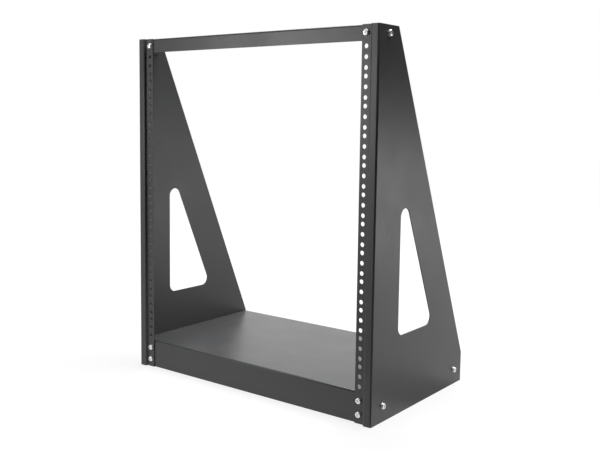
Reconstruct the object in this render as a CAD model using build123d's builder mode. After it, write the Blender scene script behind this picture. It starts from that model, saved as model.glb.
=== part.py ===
from build123d import *
import os

os.makedirs("parts", exist_ok=True)

# Two-post open frame rack for a desk: two folded side panels, a crossbar and a base tray,
# held together by pan head screws in clinch nuts.
# X runs to the right, Y to the back and Z up, from the middle of the footprint on the floor.

# Rack standard: the clear width between the posts, and the columns of holes beside it
unit_count = 12
unit_height = 44.45
holes_per_unit = 3
hole_pitch = 15.875
hole_above_unit_edge = 6.35
hole_diameter = 7.1
opening_width = 450.0
hole_setback = 7.56

# Frame: each post is the strip with the holes and the flange beside it
strip_width = 17.3
flange_width = 15.2
frame_depth = 307.0
foot_margin = 52.8
top_margin = 25.8
top_depth = 57.0
knee_height = 52.5

# Sheet steel
sheet = 1.5
bend_inside = 1.4
joggle_flat = 0.2

# Window in each side panel
window_front_margin = 77.0
window_slope_margin = 82.0
window_sill = 128.0
window_corner = 14.0

# Crossbar between the tops of the panels
crossbar_height = 24.5
crossbar_depth = 43.0
crossbar_screw_setback = 24.5

# Base tray between the feet of the panels
tray_height = 50.5
tray_lift = 0.6
tray_rear_margin = 2.5
tray_screw_pitch = 22.2
tray_front_screw_setback = 29.0
tray_rear_screw_setback = 25.0

# Fits between folded pieces
side_gap = 0.25
corner_gap = 0.6

# Pan head screw
screw_diameter = 6.0
screw_length = 12.0
screw_tip_chamfer = 0.7
head_diameter = 10.5
crown_diameter = 6.6
head_height = 3.6
head_rim = 1.3
recess_span = 5.8
recess_wing = 1.4
recess_depth = 2.0

# Clinch nut
nut_diameter = 11.0
nut_height = 4.0
nut_chamfer = 0.5
nut_thread_gap = 0.15
collar_diameter = 8.7
collar_gap = 0.05
collar_inset = 0.1

# Heights, faces and bends that follow from the sizes above
frame_height = foot_margin + unit_count * unit_height + top_margin
opening_edge = opening_width / 2
hole_column = opening_edge + hole_setback
joggle_face = opening_edge + strip_width
panel_face = joggle_face + flange_width
panel_inside = panel_face - sheet
front_face = -frame_depth / 2
rear_face = frame_depth / 2
bend_outside = bend_inside + sheet
strip_face = front_face + bend_outside + joggle_flat + bend_inside
strip_back = strip_face + sheet
corner_notch = bend_outside + corner_gap
between_panels = panel_inside - side_gap

hole_heights = [
    foot_margin + unit * unit_height + hole_above_unit_edge + step * hole_pitch
    for unit in range(unit_count)
    for step in range(holes_per_unit)
]

crossbar_top = frame_height
crossbar_bottom = crossbar_top - crossbar_height
crossbar_middle = crossbar_top - crossbar_height / 2
crossbar_rear = strip_back + crossbar_depth
crossbar_screw_y = strip_back + crossbar_screw_setback

tray_top = tray_lift + tray_height
tray_middle = tray_lift + tray_height / 2
tray_rear = rear_face - tray_rear_margin
tray_side_lip = tray_rear - strip_back - 2 * corner_notch
tray_screw_heights = [tray_middle - tray_screw_pitch / 2, tray_middle + tray_screw_pitch / 2]
tray_side_screws = [strip_back + tray_front_screw_setback, tray_rear - tray_rear_screw_setback]

front_screw_heights = tray_screw_heights + [crossbar_middle]
side_screw_places = [(y, tray_middle) for y in tray_side_screws] + [(crossbar_screw_y, crossbar_middle)]

# How far back the sloped edge moves for each millimetre down, and the window that follows it
slope_run = (frame_depth - top_depth) / (frame_height - knee_height)
window_front = front_face + window_front_margin
window_rear = rear_face - (window_sill - knee_height) * slope_run - window_slope_margin
window_peak = window_sill + (window_rear - window_front) / slope_run

screw_hole_radius = hole_diameter / 2
collar_hole_radius = collar_diameter / 2 + collar_gap
nut_bore_radius = screw_diameter / 2 + nut_thread_gap

# Right side panel: one sheet, folded round the front corner and set back by a joggle,
# so that the strip with the rack holes lies behind the outer flange
with BuildPart() as right_side_panel:
    with BuildSketch(Plane.XY):
        with BuildLine():
            FilletPolyline(
                (panel_face, rear_face),
                (panel_face, front_face),
                (joggle_face, front_face),
                (joggle_face, strip_face),
                (opening_edge, strip_face),
                radius=[bend_outside, bend_outside, bend_inside],
            )
            offset(amount=sheet, side=Side.RIGHT)
        make_face()
    extrude(amount=frame_height)
    # Sloped rear edge, from the top of the panel down to the knee
    with BuildSketch(Plane.YZ.offset(panel_inside)):
        with BuildLine():
            Polyline(
                (front_face + top_depth, frame_height),
                (rear_face, knee_height),
                (rear_face, frame_height),
                close=True,
            )
        make_face()
    extrude(amount=sheet, mode=Mode.SUBTRACT)
    # Three-cornered window, its rear edge in line with the slope
    with BuildSketch(Plane.YZ.offset(panel_inside)) as window:
        with BuildLine():
            Polyline(
                (window_front, window_sill),
                (window_rear, window_sill),
                (window_front, window_peak),
                close=True,
            )
        make_face()
        fillet(window.vertices(), radius=window_corner)
    extrude(amount=sheet, mode=Mode.SUBTRACT)
    with BuildSketch(Plane.YZ.offset(panel_inside)):
        with Locations(*side_screw_places):
            Circle(screw_hole_radius)
    extrude(amount=sheet, mode=Mode.SUBTRACT)
    # Column of rack holes, with the holes of the front screws in line above and below
    with BuildSketch(Plane.XZ.offset(-strip_back)):
        with Locations(*[(hole_column, height) for height in hole_heights + front_screw_heights]):
            Circle(screw_hole_radius)
    extrude(amount=sheet, mode=Mode.SUBTRACT)

with BuildPart() as left_side_panel:
    mirror(right_side_panel.part, about=Plane.YZ)

# Crossbar: front face, top flange and an end tab against each panel
with BuildPart() as crossbar:
    with BuildSketch(Plane.XY.offset(crossbar_bottom)):
        with BuildLine():
            FilletPolyline(
                (-between_panels, crossbar_rear),
                (-between_panels, strip_back),
                (between_panels, strip_back),
                (between_panels, crossbar_rear),
                radius=bend_outside,
            )
            offset(amount=sheet, side=Side.LEFT)
        make_face()
    extrude(amount=crossbar_height - corner_notch)
    with BuildSketch(Plane.YZ):
        with BuildLine():
            FilletPolyline(
                (strip_back, crossbar_bottom),
                (strip_back, crossbar_top),
                (crossbar_rear, crossbar_top),
                radius=bend_outside,
            )
            offset(amount=sheet, side=Side.RIGHT)
        make_face()
    extrude(amount=between_panels - corner_notch, both=True)
    with BuildSketch(Plane.XZ.offset(-strip_back - sheet)):
        with Locations((-hole_column, crossbar_middle), (hole_column, crossbar_middle)):
            Circle(collar_hole_radius)
    extrude(amount=sheet, mode=Mode.SUBTRACT)
    with BuildSketch(Plane.YZ):
        with Locations((crossbar_screw_y, crossbar_middle)):
            Circle(collar_hole_radius)
    extrude(amount=between_panels, both=True, mode=Mode.SUBTRACT)

# Base tray: a shelf with a lip folded down on all four sides and a notch at each corner
with BuildPart() as base_tray:
    with BuildSketch(Plane.YZ):
        with BuildLine():
            FilletPolyline(
                (strip_back, tray_lift),
                (strip_back, tray_top),
                (tray_rear, tray_top),
                (tray_rear, tray_lift),
                radius=bend_outside,
            )
            offset(amount=sheet, side=Side.RIGHT)
        make_face()
    extrude(amount=between_panels - corner_notch, both=True)
    with BuildSketch(Plane.XZ.offset(-strip_back - corner_notch)):
        with BuildLine():
            FilletPolyline(
                (-between_panels, tray_lift),
                (-between_panels, tray_top),
                (between_panels, tray_top),
                (between_panels, tray_lift),
                radius=bend_outside,
            )
            offset(amount=sheet, side=Side.RIGHT)
        make_face()
    extrude(amount=-tray_side_lip)
    with BuildSketch(Plane.XZ.offset(-strip_back - sheet)):
        with Locations(*[(side * hole_column, height) for side in (-1, 1) for height in tray_screw_heights]):
            Circle(collar_hole_radius)
    extrude(amount=sheet, mode=Mode.SUBTRACT)
    with BuildSketch(Plane.YZ):
        with Locations(*[(y, tray_middle) for y in tray_side_screws]):
            Circle(collar_hole_radius)
    extrude(amount=between_panels, both=True, mode=Mode.SUBTRACT)

folded_pieces = {
    "right_side_panel": right_side_panel,
    "left_side_panel": left_side_panel,
    "crossbar": crossbar,
    "base_tray": base_tray,
}
for node, piece in folded_pieces.items():
    piece.part.label = node
    export_step(piece.part, f"parts/{node}.step")


def section_plane(seat):
    """Plane through the axis of a fastener: its X is the radius and its Y runs out of the seat."""
    return Plane(origin=seat.origin, x_dir=seat.x_dir, z_dir=-seat.y_dir)


def pan_head_screw(seat):
    """Screw with a bevelled head and a cross recess, its head resting on the seat plane."""
    shank_radius = screw_diameter / 2
    head_radius = head_diameter / 2
    with BuildPart() as screw:
        with BuildSketch(section_plane(seat)):
            with BuildLine():
                Polyline(
                    (0, head_height),
                    (0, -screw_length),
                    (shank_radius - screw_tip_chamfer, -screw_length),
                    (shank_radius, screw_tip_chamfer - screw_length),
                    (shank_radius, 0),
                    (head_radius, 0),
                    (head_radius, head_rim),
                    (crown_diameter / 2, head_height),
                    close=True,
                )
            make_face()
        revolve(axis=Axis(seat.origin, seat.z_dir))
        with BuildSketch(seat.offset(head_height)):
            Rectangle(recess_span, recess_wing)
            Rectangle(recess_wing, recess_span)
        extrude(amount=-recess_depth, mode=Mode.SUBTRACT)
    return screw.part


def clinch_nut(seat):
    """Round nut whose collar is pressed into the sheet, its body resting on the seat plane."""
    collar_reach = sheet - collar_inset
    nut_radius = nut_diameter / 2
    collar_radius = collar_diameter / 2
    with BuildPart() as nut:
        with BuildSketch(section_plane(seat)):
            with BuildLine():
                Polyline(
                    (nut_bore_radius, -collar_reach),
                    (collar_radius, -collar_reach),
                    (collar_radius, 0),
                    (nut_radius, 0),
                    (nut_radius, nut_height - nut_chamfer),
                    (nut_radius - nut_chamfer, nut_height),
                    (nut_bore_radius, nut_height),
                    close=True,
                )
            make_face()
        revolve(axis=Axis(seat.origin, seat.z_dir))
    return nut.part


def add_fastener(place, head_seat, nut_seat):
    """Writes a screw and the nut that it turns into, both named after their place."""
    for kind, maker, seat in (("screw", pan_head_screw, head_seat), ("nut", clinch_nut, nut_seat)):
        part = maker(seat)
        part.label = f"{place}_{kind}"
        export_step(part, f"parts/{part.label}.step")


for side_name, side in (("left", -1), ("right", 1)):
    for place, height in zip(("tray_lower", "tray_upper", "crossbar"), front_screw_heights):
        x = side * hole_column
        add_fastener(
            f"{side_name}_{place}_front",
            Plane(origin=(x, strip_face, height), x_dir=(1, 0, 0), z_dir=(0, -1, 0)),
            Plane(origin=(x, strip_back + sheet, height), x_dir=(1, 0, 0), z_dir=(0, 1, 0)),
        )
    for place, (y, height) in zip(("tray_front", "tray_rear", "crossbar"), side_screw_places):
        add_fastener(
            f"{side_name}_{place}_side",
            Plane(origin=(side * panel_face, y, height), x_dir=(0, 1, 0), z_dir=(side, 0, 0)),
            Plane(
                origin=(side * (between_panels - sheet), y, height),
                x_dir=(0, 1, 0),
                z_dir=(-side, 0, 0),
            ),
        )
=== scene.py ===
import math

import bpy
import numpy as np
from mathutils import Matrix, Vector


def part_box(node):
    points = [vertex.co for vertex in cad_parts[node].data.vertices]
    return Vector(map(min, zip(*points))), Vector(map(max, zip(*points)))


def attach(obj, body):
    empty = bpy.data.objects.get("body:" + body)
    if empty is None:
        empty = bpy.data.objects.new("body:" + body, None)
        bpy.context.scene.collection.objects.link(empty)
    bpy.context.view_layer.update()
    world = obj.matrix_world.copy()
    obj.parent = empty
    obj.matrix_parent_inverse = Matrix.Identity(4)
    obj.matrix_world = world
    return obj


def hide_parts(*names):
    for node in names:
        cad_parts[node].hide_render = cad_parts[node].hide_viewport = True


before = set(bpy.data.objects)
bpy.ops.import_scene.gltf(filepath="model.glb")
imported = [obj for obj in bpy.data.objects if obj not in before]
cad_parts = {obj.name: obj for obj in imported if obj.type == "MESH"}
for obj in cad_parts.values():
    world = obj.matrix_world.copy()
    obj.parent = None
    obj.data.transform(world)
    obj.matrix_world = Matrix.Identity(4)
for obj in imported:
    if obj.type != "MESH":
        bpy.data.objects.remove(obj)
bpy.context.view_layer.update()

# Two-post open frame rack in black powder coat, with zinc plated screws and clinch nuts.
# Everything is in metres, X to the right, Y to the back and Z up.
MM = 0.001
BODY = "root"
SHEET_PIECES = ("right_side_panel", "left_side_panel", "crossbar", "base_tray")
SCREWS = sorted(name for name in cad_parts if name.endswith("_screw"))
NUTS = sorted(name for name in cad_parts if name.endswith("_nut"))

# Roundings: cut edges of the sheet, deburred and softened by the coat, and turned edges of the nuts
SHEET_EDGE = 0.25 * MM
NUT_EDGE = 0.12 * MM
EDGE_SEGMENTS = 2
EDGE_ANGLE = math.radians(35)
WELD_GAP = 0.001 * MM
FLAT_ANGLE = math.radians(0.2)

# Pan head screw, M6 with a cross recess
HEAD_RADIUS = 5.25 * MM
HEAD_HEIGHT = 3.6 * MM
HEAD_RIM = 1.3 * MM
HEAD_EDGE = 0.15 * MM
CROWN_RADIUS = 4.85 * MM
PAN_POWER = 4
SHANK_RADIUS = 3.0 * MM
SHANK_LENGTH = 12.0 * MM
TIP_CHAMFER = 0.7 * MM
# Thread: pitch, depth, rings in one pitch, steepness of its flanks, and the offset that leaves a flat crest
THREAD_PITCH = 1.0 * MM
THREAD_DEPTH = 0.6 * MM
THREAD_STEPS = 8
FLANK_SLOPE = 1.6
FLANK_START = 0.2
# Recess: half the cross, half a wing's width, run of the walls, depth, and share that its floor rises
RECESS_HALF_SPAN = 2.9 * MM
RECESS_HALF_WING = 0.7 * MM
RECESS_WALL = 0.18 * MM
RECESS_DEPTH = 2.0 * MM
RECESS_RISE = 0.45
# Points across the middle, along an arm and over the shoulder of the head's grid
CENTRE_POINTS = 3
ARM_POINTS = 5
SHOULDER_POINTS = 10
# Turn in radians from one screw's recess to the next one's, since nobody lines them up
SCREW_TURN = 1.1

# Powder coat: its shades and roughness, spacing and height of the orange peel and of the grain, and spacing
# of the cloudy shade. The real grain is about 0.1 mm wide. That is too fine to show, so it is drawn seven
# times as wide.
COAT_SHADES = ("#444546", "#49494a")
COAT_ROUGHNESS = (0.34, 0.39)
COAT_IOR = 1.5
PEEL_SPACING = 2.4 * MM
PEEL_HEIGHT = 0.06 * MM
GRAIN_SPACING = 0.7 * MM
GRAIN_HEIGHT = 0.02 * MM
CLOUD_SPACING = 60 * MM
# Zinc: its shades and roughness, and spacing of the stains that passivation leaves. Real ones of about
# 0.5 mm are too fine to show on a head 10.5 mm across, so they are drawn three times as wide.
ZINC_SHADES = ("#e2e4e6", "#f1f2f3")
ZINC_ROUGHNESS = (0.28, 0.4)
STAIN_SPACING = 1.5 * MM
# Span of a noise's values that is stretched over a range of roughness
NOISE_SPAN = (0.3, 0.7)


def linear(colour):
    """An sRGB hex colour as linear red, green, blue and alpha."""
    srgb = np.array([int(colour[i:i + 2], 16) for i in (1, 3, 5)]) / 255
    rgb = np.where(srgb <= 0.04045, srgb / 12.92, ((srgb + 0.055) / 1.055) ** 2.4)
    return (*rgb.tolist(), 1.0)


def add(tree, kind, inputs=(), **settings):
    """Adds a node. Inputs gives each socket a value, or the socket that is linked to it."""
    node = tree.nodes.new(kind)
    for name, value in settings.items():
        setattr(node, name, value)
    for socket, value in dict(inputs).items():
        if isinstance(value, bpy.types.NodeSocket):
            tree.links.new(value, node.inputs[socket])
        else:
            node.inputs[socket].default_value = value
    return node


def span(value, start, end, low, high):
    """Inputs of a Map Range node that gives low where the value is at start and high where it is at end.

    They are returned and no node is added.
    """
    return {"Value": value, "From Min": start, "From Max": end, "To Min": low, "To Max": high}


def blank_material(name):
    """A material with an output node alone, and that output."""
    material = bpy.data.materials.new(name)
    material.use_nodes = True
    material.node_tree.nodes.clear()
    return material, add(material.node_tree, "ShaderNodeOutputMaterial")


def powder_coat():
    """Semi-matt black polyester powder coat, sprayed dry and baked.

    To the eye it is a charcoal black that stays dark, with a broad soft sheen towards a light.
    Faint orange peel and a fine grain break the sheen up, and its shade drifts slightly over a panel.
    """
    material, output = blank_material("black_powder_coat")
    tree = material.node_tree
    place = add(tree, "ShaderNodeTexCoord").outputs["Object"]
    peel = add(tree, "ShaderNodeTexNoise", {"Vector": place, "Scale": 1 / PEEL_SPACING, "Detail": 1.0})
    grain = add(tree, "ShaderNodeTexNoise", {"Vector": place, "Scale": 1 / GRAIN_SPACING, "Detail": 2.0})
    cloudy = add(tree, "ShaderNodeTexNoise", {"Vector": place, "Scale": 1 / CLOUD_SPACING, "Detail": 3.0})
    cloud = cloudy.outputs["Fac"]
    waves = add(tree, "ShaderNodeBump", {"Height": peel.outputs["Fac"], "Distance": PEEL_HEIGHT})
    grit = add(
        tree,
        "ShaderNodeBump",
        {"Height": grain.outputs["Fac"], "Distance": GRAIN_HEIGHT, "Normal": waves.outputs["Normal"]},
    )
    colour = add(
        tree,
        "ShaderNodeMix",
        {"Factor": cloud, "A": linear(COAT_SHADES[0]), "B": linear(COAT_SHADES[1])},
        data_type="RGBA",
    )
    gloss = add(tree, "ShaderNodeMapRange", span(cloud, *NOISE_SPAN, *COAT_ROUGHNESS))
    coat = add(
        tree,
        "ShaderNodeBsdfPrincipled",
        {
            "Base Color": colour.outputs["Result"],
            "Roughness": gloss.outputs["Result"],
            "IOR": COAT_IOR,
            "Normal": grit.outputs["Normal"],
        },
    )
    tree.links.new(coat.outputs["BSDF"], output.inputs["Surface"])
    return material


def zinc_plate():
    """Bright zinc plate on cold formed steel.

    To the eye it is a cool white metal with soft reflections, a little cloudier in one spot than in
    the next, so that a head flashes at its crown and goes dark in its recess.
    """
    material, output = blank_material("bright_zinc_plate")
    tree = material.node_tree
    place = add(tree, "ShaderNodeTexCoord").outputs["Object"]
    stained = add(tree, "ShaderNodeTexNoise", {"Vector": place, "Scale": 1 / STAIN_SPACING, "Detail": 3.0})
    stain = stained.outputs["Fac"]
    colour = add(
        tree,
        "ShaderNodeMix",
        {"Factor": stain, "A": linear(ZINC_SHADES[0]), "B": linear(ZINC_SHADES[1])},
        data_type="RGBA",
    )
    gloss = add(tree, "ShaderNodeMapRange", span(stain, *NOISE_SPAN, *ZINC_ROUGHNESS))
    plate = add(
        tree,
        "ShaderNodeBsdfPrincipled",
        {"Base Color": colour.outputs["Result"], "Metallic": 1.0, "Roughness": gloss.outputs["Result"]},
    )
    tree.links.new(plate.outputs["BSDF"], output.inputs["Surface"])
    return material


def mesh_piece(name, points, faces, material):
    """A smooth mesh at the origin, its place in its points, with sharp edges where it folds."""
    mesh = bpy.data.meshes.new(name)
    mesh.from_pydata(points.tolist(), [], faces)
    mesh.shade_smooth()
    mesh.set_sharp_from_angle(angle=EDGE_ANGLE)
    mesh.materials.append(material)
    piece = bpy.data.objects.new(name, mesh)
    bpy.context.scene.collection.objects.link(piece)
    return piece


def head_grid():
    """Top of the head: a square grid whose outer rings are drawn out into circles.

    The height is that of a pan, rim + rise * (1 - (r / R) ** p) ** (1 / p) with p = PAN_POWER, which is
    nearly flat over the crown and steep at the shoulder. The recess is taken off it, a cross whose depth is
    RECESS_DEPTH * (1 - RECESS_RISE * r / half its span), brought to nothing over the width of its walls.
    """
    centre = np.linspace(0, RECESS_HALF_WING - RECESS_WALL, CENTRE_POINTS)
    arm = np.linspace(RECESS_HALF_WING, RECESS_HALF_SPAN - RECESS_WALL, ARM_POINTS)
    shoulder = np.sin(np.linspace(0, math.pi / 2, SHOULDER_POINTS))
    outer = RECESS_HALF_SPAN + (CROWN_RADIUS - RECESS_HALF_SPAN) * shoulder
    half = np.concatenate([centre, arm, outer])
    line = np.concatenate([-half[:0:-1], half])
    u, v = np.meshgrid(line, line, indexing="ij")
    ring = np.maximum(abs(u), abs(v))
    roundness = np.clip((ring - RECESS_HALF_SPAN) / (CROWN_RADIUS - RECESS_HALF_SPAN), 0, 1)
    circle = ring / np.maximum(np.hypot(u, v), 1e-9)
    stretch = 1 + roundness * (circle - 1)
    x, y = u * stretch, v * stretch
    radius = np.hypot(x, y)
    rise = HEAD_HEIGHT - HEAD_RIM
    cap = HEAD_RIM + rise * np.clip(1 - (radius / CROWN_RADIUS) ** PAN_POWER, 0, 1) ** (1 / PAN_POWER)
    along = np.clip((RECESS_HALF_SPAN - abs(u)) / RECESS_WALL, 0, 1)
    across = np.clip((RECESS_HALF_WING - abs(v)) / RECESS_WALL, 0, 1)
    cross = np.maximum(along * across, (along * across).T)
    depth = RECESS_DEPTH * (1 - RECESS_RISE * radius / RECESS_HALF_SPAN)
    return np.stack([x, y, cap - cross * depth], -1)


def thread_radius(turn, height):
    """Radius of the shank, r = R - depth * flank, where flank is a clipped triangle wave.

    The wave climbs one pitch in a turn. The chamfer at the tip, a cone, cuts the ridge off.
    """
    wave = abs(((turn + height / THREAD_PITCH) % 1) * 2 - 1)
    flank = np.clip(wave * FLANK_SLOPE - FLANK_START, 0, 1)
    ridge = SHANK_RADIUS - THREAD_DEPTH * flank
    chamfer = SHANK_RADIUS - TIP_CHAMFER + (height + SHANK_LENGTH)
    return np.minimum(ridge, chamfer)


def screw_points():
    """The whole screw on its own axis, its head resting on height 0: points and faces.

    Rings of points (r * cos a, r * sin a, z) go down from the edge of the top. They are the rim, the foot
    of the head, the start of the shank and the thread, whose r is thread_radius(a, z). A fan to one point
    closes the tip.
    """
    top = head_grid()
    side = top.shape[0]
    index = np.arange(side * side).reshape(side, side)
    quads = np.stack([index[:-1, :-1], index[1:, :-1], index[1:, 1:], index[:-1, 1:]], -1).reshape(-1, 4)
    loop = np.concatenate([index[:-1, 0], index[-1, :-1], index[:0:-1, -1], index[0, :0:-1]])
    points = top.reshape(-1, 3)
    turn = np.arctan2(points[loop, 1], points[loop, 0]) / math.tau
    rings = [
        (HEAD_RADIUS, HEAD_EDGE),
        (HEAD_RADIUS - HEAD_EDGE, 0),
        (SHANK_RADIUS, 0),
    ]
    heights = np.linspace(0, -SHANK_LENGTH, int(SHANK_LENGTH / THREAD_PITCH * THREAD_STEPS) + 1)[1:]
    radii = [np.full(len(loop), radius) for radius, _ in rings]
    radii += [thread_radius(turn, height) for height in heights]
    levels = np.concatenate([[height for _, height in rings], heights])
    radii = np.array(radii)
    angle = turn * math.tau
    depths = np.repeat(levels[:, None], len(loop), 1)
    lower = np.stack([radii * np.cos(angle), radii * np.sin(angle), depths], -1)
    first = len(points)
    wall = first + np.arange(len(levels) * len(loop)).reshape(len(levels), len(loop))
    wall = np.concatenate([loop[None], wall])
    after = np.roll(wall, -1, 1)
    sides = np.stack([wall[:-1], wall[1:], after[1:], after[:-1]], -1).reshape(-1, 4)
    tip = first + lower.reshape(-1, 3).shape[0]
    points = np.concatenate([points, lower.reshape(-1, 3), [[0, 0, -SHANK_LENGTH]]])
    faces = quads.tolist() + sides.tolist()
    faces += [[int(a), tip, int(b)] for a, b in zip(wall[-1], after[-1])]
    return points, faces


def outward(name):
    """The direction that a screw's head points to, from its name."""
    if name.endswith("_front_screw"):
        return Vector((0, -1, 0))
    return Vector((1 if name.startswith("right") else -1, 0, 0))


def place_screw(name, points, faces, turn, material):
    """A screw in place of its node, turned about its axis."""
    low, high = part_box(name)
    out = outward(name)
    reach = max((corner - (low + high) / 2).dot(-out) for corner in (low, high))
    seat = (low + high) / 2 - out * (reach - SHANK_LENGTH)
    across = out.cross(Vector((0, 0, 1)))
    axes = Matrix((across, out.cross(across), out)).transposed() @ Matrix.Rotation(turn, 3, "Z")
    placed = points @ np.array(axes).T + np.array(seat)
    piece = mesh_piece(f"{name}_piece", placed, faces, material)
    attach(piece, BODY)
    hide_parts(name)


def round_edges(piece, width):
    """Rounds the sharp edges of a piece: its triangles are joined and flattened into faces first."""
    weld = piece.modifiers.new("join", "WELD")
    weld.merge_threshold = WELD_GAP
    flat = piece.modifiers.new("flat_faces", "DECIMATE")
    flat.decimate_type = "DISSOLVE"
    flat.angle_limit = FLAT_ANGLE
    bevel = piece.modifiers.new("round_edges", "BEVEL")
    bevel.limit_method = "ANGLE"
    bevel.angle_limit = EDGE_ANGLE
    bevel.width = width
    bevel.segments = EDGE_SEGMENTS
    bevel.harden_normals = True


black = powder_coat()
bright = zinc_plate()

for name in SHEET_PIECES:
    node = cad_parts[name]
    node.material_slots[0].material = black
    round_edges(node, SHEET_EDGE)
for name in NUTS:
    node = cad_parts[name]
    node.material_slots[0].material = bright
    round_edges(node, NUT_EDGE)

points, faces = screw_points()
for number, name in enumerate(SCREWS):
    place_screw(name, points, faces, number * SCREW_TURN, bright)

# Camera, from the photograph's vanishing lines and the rack's known hole spacing
CAMERA_PLACE = Vector((0.9018, -1.2072, 0.4743))
CAMERA_YAW = math.radians(37.97)
CAMERA_PITCH = math.radians(5.80)
CAMERA_ROLL = math.radians(0.629)
CAMERA_LENS = 49.67
CAMERA_SENSOR = 36
CAMERA_SHIFT = (0.0311, -0.0409)


def photo_camera():
    """Camera at the photograph's place: turned by yaw, tipped down by pitch, then rolled."""
    forward = Vector((
        -math.sin(CAMERA_YAW) * math.cos(CAMERA_PITCH),
        math.cos(CAMERA_YAW) * math.cos(CAMERA_PITCH),
        -math.sin(CAMERA_PITCH),
    ))
    level = Vector((math.cos(CAMERA_YAW), math.sin(CAMERA_YAW), 0))
    upright = level.cross(forward)
    right = math.cos(CAMERA_ROLL) * level + math.sin(CAMERA_ROLL) * upright
    up = math.cos(CAMERA_ROLL) * upright - math.sin(CAMERA_ROLL) * level
    data = bpy.data.cameras.new("camera")
    data.sensor_width = CAMERA_SENSOR
    data.lens = CAMERA_LENS
    data.shift_x, data.shift_y = CAMERA_SHIFT
    camera = bpy.data.objects.new("camera", data)
    turned = Matrix((right, up, -forward)).transposed().to_4x4()
    camera.matrix_world = Matrix.Translation(CAMERA_PLACE) @ turned
    bpy.context.scene.collection.objects.link(camera)
    bpy.context.scene.camera = camera


photo_camera()

# Soft boxes: place, aim, width, height and radiance, where a white wall in full light is 1
SOFT_BOXES = {
    # Broad box above and a little behind, which lights the tray and leaves the fronts dark
    "top_box": ((0.15, 0.55, 2.0), (0.1, 0.1, 0.0), 1.6, 1.4, 9.0),
    # Box at the front left, mirrored in the fronts of the crossbar and the posts
    "front_box": ((-0.83, -1.37, 0.64), (0.0, 0.0, 0.6), 0.5, 0.55, 8.0),
    # Low wide box at the back, mirrored along the rear of the tray
    "back_box": ((-0.985, 1.26, 0.28), (0.0, 0.0, 0.28), 1.4, 0.3, 0.7),
    # Small low box at the right rear, mirrored along the front edge of the right panel
    "side_box": ((1.13, 1.13, 0.24), (0.0, 0.0, 0.24), 0.3, 0.4, 4.2),
}
WHITE = (1, 1, 1, 1)
# Backdrop in gloss: the way to it, and the cosines between which it comes up
BACKDROP_WAY = (-0.848, 0.530, 0.0)
BACKDROP_SPREAD = (0.6, 0.8)
# Ceiling in gloss: the heights of a ray between which it comes up, and its strength
CEILING_SPREAD = (0.45, 0.75)
CEILING_STRENGTH = 0.9
# Floor: half its side, how far it lies below the rack, and its paper
FLOOR_HALF = 8.0
FLOOR_DROP = 0.1 * MM
PAPER = "#6c6c6c"
# Its glow, which is full white far from the rack, and its bounce, which ends half a metre from the middle
GLOW_REACH = (0.4, 1.4)
GLOW_STRENGTH = (0.86, 1.0)
BOUNCE_REACH = (0.2, 0.5)
BOUNCE_STRENGTH = 0.45
# Painted shade in gloss: the camera's side of the floor is darkened for gloss only. The way to it from the
# rack's near corner, the cosines between which the painted shade comes in, and the share of the glow that
# is left
NEAR_CORNER = (0.26, -0.15, 0.0)
PAINTED_SHADE_WAY = (0.707, -0.707, 0.0)
PAINTED_SHADE_SPREAD = (0.35, 0.8)
PAINTED_SHADE_SHARE = 0.1
# Painted shadows of the rack on the floor, seen only in gloss: middle, inner and outer radius, and the
# share of the glow that all of them leave
PAINTED_SHADOW_PATCHES = (
    # Painted shadow beside the right foot, mirrored low on the right panel
    ((0.32, 0.05, 0.0), 0.06, 0.125),
    # Painted shadow in front of the rack, mirrored low on the right post
    ((0.0, -0.55, 0.0), 0.1, 0.3),
    # Painted shadow behind the tray, mirrored in its rear
    ((0.05, 0.42, 0.0), 0.1, 0.32),
)
SHADOW_PATCH_SHARE = 0.5


def soft_box(name, place, aim, width, height, radiance):
    """A rectangle of even light that the camera doesn't see, but gloss does."""
    data = bpy.data.lights.new(name, "AREA")
    data.shape = "RECTANGLE"
    data.size = width
    data.size_y = height
    data.energy = math.pi * width * height * radiance
    light = bpy.data.objects.new(name, data)
    turn = (Vector(aim) - Vector(place)).to_track_quat("-Z", "Y")
    light.matrix_world = Matrix.Translation(place) @ turn.to_matrix().to_4x4()
    light.visible_camera = False
    bpy.context.scene.collection.objects.link(light)


def studio_world():
    """White to the camera. Gloss sees a white backdrop behind the rack, a pale ceiling and a dark room."""
    world = bpy.data.worlds.new("studio")
    bpy.context.scene.world = world
    world.use_nodes = True
    tree = world.node_tree
    tree.nodes.clear()
    ray = add(tree, "ShaderNodeLightPath").outputs
    way = add(tree, "ShaderNodeTexCoord").outputs["Generated"]
    facing = add(tree, "ShaderNodeVectorMath", {0: way, 1: BACKDROP_WAY}, operation="DOT_PRODUCT")
    backdrop = add(
        tree,
        "ShaderNodeMapRange",
        span(facing.outputs["Value"], *BACKDROP_SPREAD, 0.0, 1.0),
        interpolation_type="SMOOTHSTEP",
    )
    height = add(tree, "ShaderNodeSeparateXYZ", {"Vector": way}).outputs["Z"]
    ceiling = add(
        tree,
        "ShaderNodeMapRange",
        span(height, *CEILING_SPREAD, 0.0, CEILING_STRENGTH),
        interpolation_type="SMOOTHSTEP",
    )
    walls = add(
        tree,
        "ShaderNodeMath",
        {0: backdrop.outputs["Result"], 1: ceiling.outputs["Result"]},
        operation="MAXIMUM",
    )
    mirrored = add(
        tree,
        "ShaderNodeMath",
        {0: ray["Is Glossy Ray"], 1: ray["Is Transmission Ray"]},
        operation="MAXIMUM",
    )
    seen = add(tree, "ShaderNodeMath", {0: mirrored.outputs[0], 1: walls.outputs[0]}, operation="MULTIPLY")
    strength = add(
        tree,
        "ShaderNodeMath",
        {0: seen.outputs[0], 1: ray["Is Camera Ray"]},
        operation="MAXIMUM",
    )
    ground = add(tree, "ShaderNodeBackground", {"Color": WHITE, "Strength": strength.outputs[0]})
    add(tree, "ShaderNodeOutputWorld", {"Surface": ground.outputs["Background"]})


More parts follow.
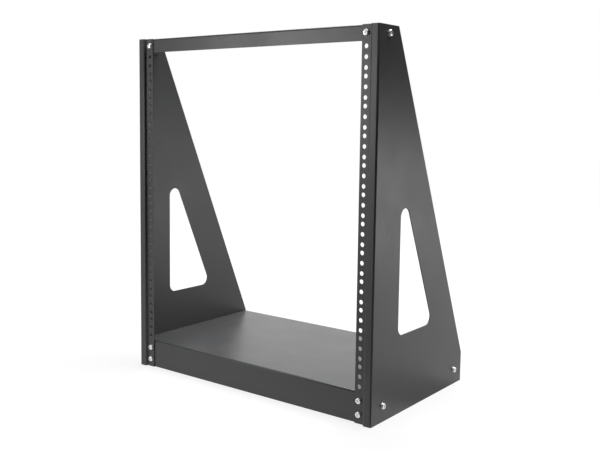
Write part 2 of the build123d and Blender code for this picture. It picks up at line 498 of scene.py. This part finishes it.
def pale_floor():
    """Plain white paper floor, matt and even.

    It glows to the camera and to gloss, bounces a little light, and keeps the rack's shadow.
    In gloss its glow carries painted shade on the camera's side and painted shadows near the rack.
    """
    material, output = blank_material("white_paper_floor")
    tree = material.node_tree
    ray = add(tree, "ShaderNodeLightPath").outputs
    paper = add(tree, "ShaderNodeBsdfDiffuse", {"Color": linear(PAPER)})
    place = add(tree, "ShaderNodeTexCoord").outputs["Object"]
    reach = add(tree, "ShaderNodeVectorMath", {0: place}, operation="LENGTH").outputs["Value"]
    glow = add(tree, "ShaderNodeMapRange", span(reach, *GLOW_REACH, *GLOW_STRENGTH))
    near = add(tree, "ShaderNodeMapRange", span(reach, *BOUNCE_REACH, BOUNCE_STRENGTH, 0.0))
    mirrored = add(
        tree,
        "ShaderNodeMath",
        {0: ray["Is Glossy Ray"], 1: ray["Is Transmission Ray"]},
        operation="MAXIMUM",
    )
    # Painted shade in gloss: the glow that gloss sees is darkened on the camera's side and in patches near
    # the rack
    beside = add(tree, "ShaderNodeVectorMath", {0: place, 1: NEAR_CORNER}, operation="SUBTRACT")
    way = add(tree, "ShaderNodeVectorMath", {0: beside.outputs["Vector"]}, operation="NORMALIZE")
    facing = add(
        tree,
        "ShaderNodeVectorMath",
        {0: way.outputs["Vector"], 1: PAINTED_SHADE_WAY},
        operation="DOT_PRODUCT",
    )
    painted_shades = [span(facing.outputs["Value"], *PAINTED_SHADE_SPREAD, 1.0, PAINTED_SHADE_SHARE)]
    for middle, inner, outer in PAINTED_SHADOW_PATCHES:
        away = add(tree, "ShaderNodeVectorMath", {0: place, 1: middle}, operation="DISTANCE")
        painted_shades.append(span(away.outputs["Value"], inner, outer, SHADOW_PATCH_SHARE, 1.0))
    # Each painted shade or painted shadow multiplies the glow that gloss sees
    for dim in painted_shades:
        share = add(tree, "ShaderNodeMapRange", dim, interpolation_type="SMOOTHSTEP")
        mirrored = add(
            tree,
            "ShaderNodeMath",
            {0: mirrored.outputs[0], 1: share.outputs["Result"]},
            operation="MULTIPLY",
        )
    seen = add(
        tree,
        "ShaderNodeMath",
        {0: mirrored.outputs[0], 1: ray["Is Camera Ray"]},
        operation="MAXIMUM",
    )
    shown = add(
        tree,
        "ShaderNodeMath",
        {0: seen.outputs[0], 1: glow.outputs["Result"]},
        operation="MULTIPLY",
    )
    strength = add(
        tree,
        "ShaderNodeMath",
        {0: ray["Is Diffuse Ray"], 1: near.outputs["Result"], 2: shown.outputs[0]},
        operation="MULTIPLY_ADD",
    )
    light = add(tree, "ShaderNodeEmission", {"Strength": strength.outputs[0]})
    both = add(tree, "ShaderNodeAddShader", {0: paper.outputs[0], 1: light.outputs[0]})
    tree.links.new(both.outputs[0], output.inputs["Surface"])
    corners = np.array([[-1, -1], [1, -1], [1, 1], [-1, 1]]) * FLOOR_HALF
    points = np.column_stack([corners, np.full(len(corners), -FLOOR_DROP)])
    floor = mesh_piece("floor", points, [(0, 1, 2, 3)], material)


for name, settings in SOFT_BOXES.items():
    soft_box(name, *settings)
studio_world()
pale_floor()
bpy.context.scene.view_settings.view_transform = "Standard"
